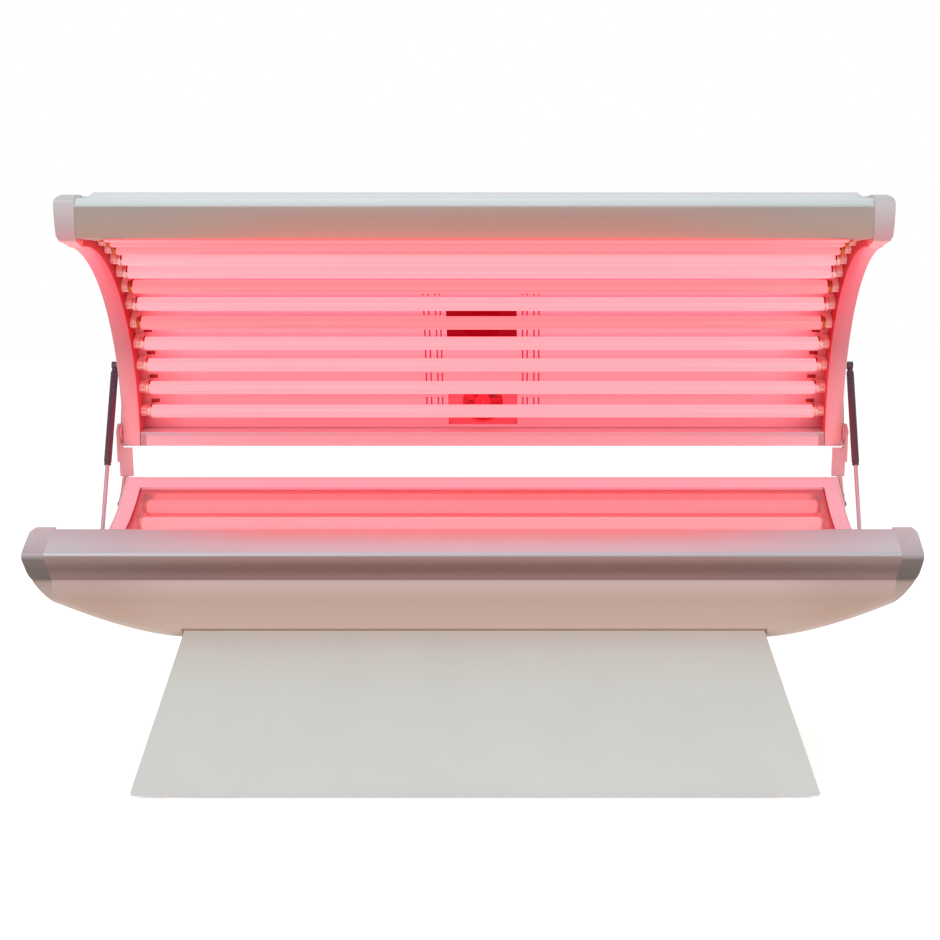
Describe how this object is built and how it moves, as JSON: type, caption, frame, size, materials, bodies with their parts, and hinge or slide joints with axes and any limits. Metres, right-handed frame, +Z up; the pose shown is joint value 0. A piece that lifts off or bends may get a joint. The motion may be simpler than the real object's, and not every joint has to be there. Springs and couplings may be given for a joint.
{
  "type": "red light therapy bed",
  "caption": "Lay-down light therapy bed: a curved clear bench over lamp tubes on a tapered pedestal, under a hinged curved lid lined with lamp tubes.",
  "frame": {"origin": "centre of the bounding box at floor level", "axes": "+X along the bed to the right as seen from the front rail, +Y to the hinge side, +Z up"},
  "size_m": [2.2, 1.084, 1.5328],
  "materials": {
    "frame_paint": "satin powder coat",
    "black_plastic": "moulded, fine matt",
    "board_white": "white laminated board",
    "tray_steel": "plated sheet",
    "ballast_case": "matt white",
    "inlet_black": "matt",
    "rocker_red": "glossy",
    "belly_white": "smooth satin moulding",
    "rail_metal": "satin anodised",
    "cap_white": "smooth satin moulding",
    "sheet_white": "gloss powder coat",
    "rim_white": "smooth satin moulding",
    "acrylic": "clear and polished",
    "reflector": "bright rolled sheet",
    "tube_glass": "frosted by its inner coating",
    "tube_cap": "plain",
    "holder_white": "matt",
    "shell_white": "smooth gloss",
    "lid_rail_metal": "satin anodised",
    "arm_paint": "gloss powder coat",
    "plain_steel": "turned",
    "strut_black": "black enamel",
    "strut_chrome": "ground and polished",
    "bolt_dark": "blackened"
  },
  "bodies": {
    "base": {"base_frame": "frame_paint", "levelling_feet": "holder_white", "base_front_panel": "board_white", "base_rear_panel": "board_white", "base_end_left": "board_white", "base_end_right": "board_white", "electronics_tray": "tray_steel", "ballasts": "ballast_case", "control_box": "ballast_case", "power_inlet": "inlet_black", "base_fan_housing": "black_plastic", "bed_beams": "frame_paint", "bed_end_plates": "frame_paint", "bed_ribs": "frame_paint", "belly_panel": "belly_white", "bed_front_rail": "rail_metal", "bed_rear_rail": "rail_metal", "bed_end_cap_left": "cap_white", "bed_end_cap_right": "cap_white", "bed_side_left": "sheet_white", "bed_side_right": "sheet_white", "bench_rim": "rim_white", "bench_acrylic": "acrylic", "bed_reflector": "reflector", "bed_lamps": "tube_glass", "bed_lamp_caps": "tube_cap", "bed_lampholders": "holder_white", "hinge_arm_left": "arm_paint", "hinge_arm_right": "arm_paint", "hinge_pins": "plain_steel", "strut_anchors": "plain_steel", "arm_bolts": "bolt_dark"},
    "lid": {"lid_frame": "frame_paint", "lid_shell": "shell_white", "lid_front_rail": "lid_rail_metal", "lid_end_cap_left": "cap_white", "lid_end_cap_right": "cap_white", "lid_side_left": "rim_white", "lid_side_right": "rim_white", "lid_rear_rail": "rail_metal", "lid_reflector_left": "reflector", "lid_reflector_centre": "reflector", "lid_reflector_right": "reflector", "lid_lamps": "tube_glass", "lid_lamp_caps": "tube_cap", "lid_lampholders": "holder_white", "lid_fan_housings": "black_plastic", "hinge_plates": "plain_steel", "strut_top_bosses": "plain_steel"},
    "rocker": {"mains_rocker": "rocker_red"},
    "base_rotor": {"base_fan_rotor": "black_plastic"},
    "upper_rotor": {"upper_fan_rotor": "black_plastic"},
    "lower_rotor": {"lower_fan_rotor": "black_plastic"},
    "rod_left": {"strut_rod_left": "strut_chrome"},
    "rod_right": {"strut_rod_right": "strut_chrome"},
    "cylinder_left": {"strut_cylinder_left": "strut_black"},
    "cylinder_right": {"strut_cylinder_right": "strut_black"}
  },
  "joints": [
    {"name": "lid_hinge", "type": "hinge", "parent": "base", "child": "lid", "pos_m": [0, 0.408, 0.841], "axis": [1, 0, 0], "range_deg": [0, 47.8], "stiffness_Nm_per_rad": 90, "springref_deg": -95.51},
    {"name": "strut_swing_left", "type": "hinge", "parent": "base", "child": "rod_left", "pos_m": [-1.081, 0.2, 0.557], "axis": [1, 0, 0], "range_deg": [0, 15.6]},
    {"name": "strut_slide_left", "type": "slide", "parent": "rod_left", "child": "cylinder_left", "axis": [0, 0.4412, 0.8974], "range_m": [-0.0915, 0]},
    {"name": "strut_swing_right", "type": "hinge", "parent": "base", "child": "rod_right", "pos_m": [1.081, 0.2, 0.557], "axis": [1, 0, 0], "range_deg": [0, 15.6]},
    {"name": "strut_slide_right", "type": "slide", "parent": "rod_right", "child": "cylinder_right", "axis": [0, 0.4412, 0.8974], "range_m": [-0.0915, 0]},
    {"name": "upper_fan_spin", "type": "hinge", "parent": "lid", "child": "upper_rotor", "pos_m": [0, 0.38135, 1.17734], "axis": [0, 0.8358, 0.549], "continuous": true},
    {"name": "lower_fan_spin", "type": "hinge", "parent": "lid", "child": "lower_rotor", "pos_m": [0, 0.48183, 0.92675], "axis": [0, 0.9836, 0.1805], "continuous": true},
    {"name": "base_fan_spin", "type": "hinge", "parent": "base", "child": "base_rotor", "pos_m": [0, 0.265, 0.25], "axis": [0, 1, 0], "continuous": true},
    {"name": "mains_rocker_tilt", "type": "hinge", "parent": "base", "child": "rocker", "pos_m": [0.533, 0.302, 0.11], "axis": [1, 0, 0], "range_deg": [-18, 0]}
  ],
  "couplings": [
    {"joint": "strut_swing_left", "follows": "lid_hinge", "ratio": 0.32615},
    {"joint": "strut_slide_left", "follows": "lid_hinge", "m_per_rad": -0.10897},
    {"joint": "strut_swing_right", "follows": "lid_hinge", "ratio": 0.32615},
    {"joint": "strut_slide_right", "follows": "lid_hinge", "m_per_rad": -0.10897}
  ]
}
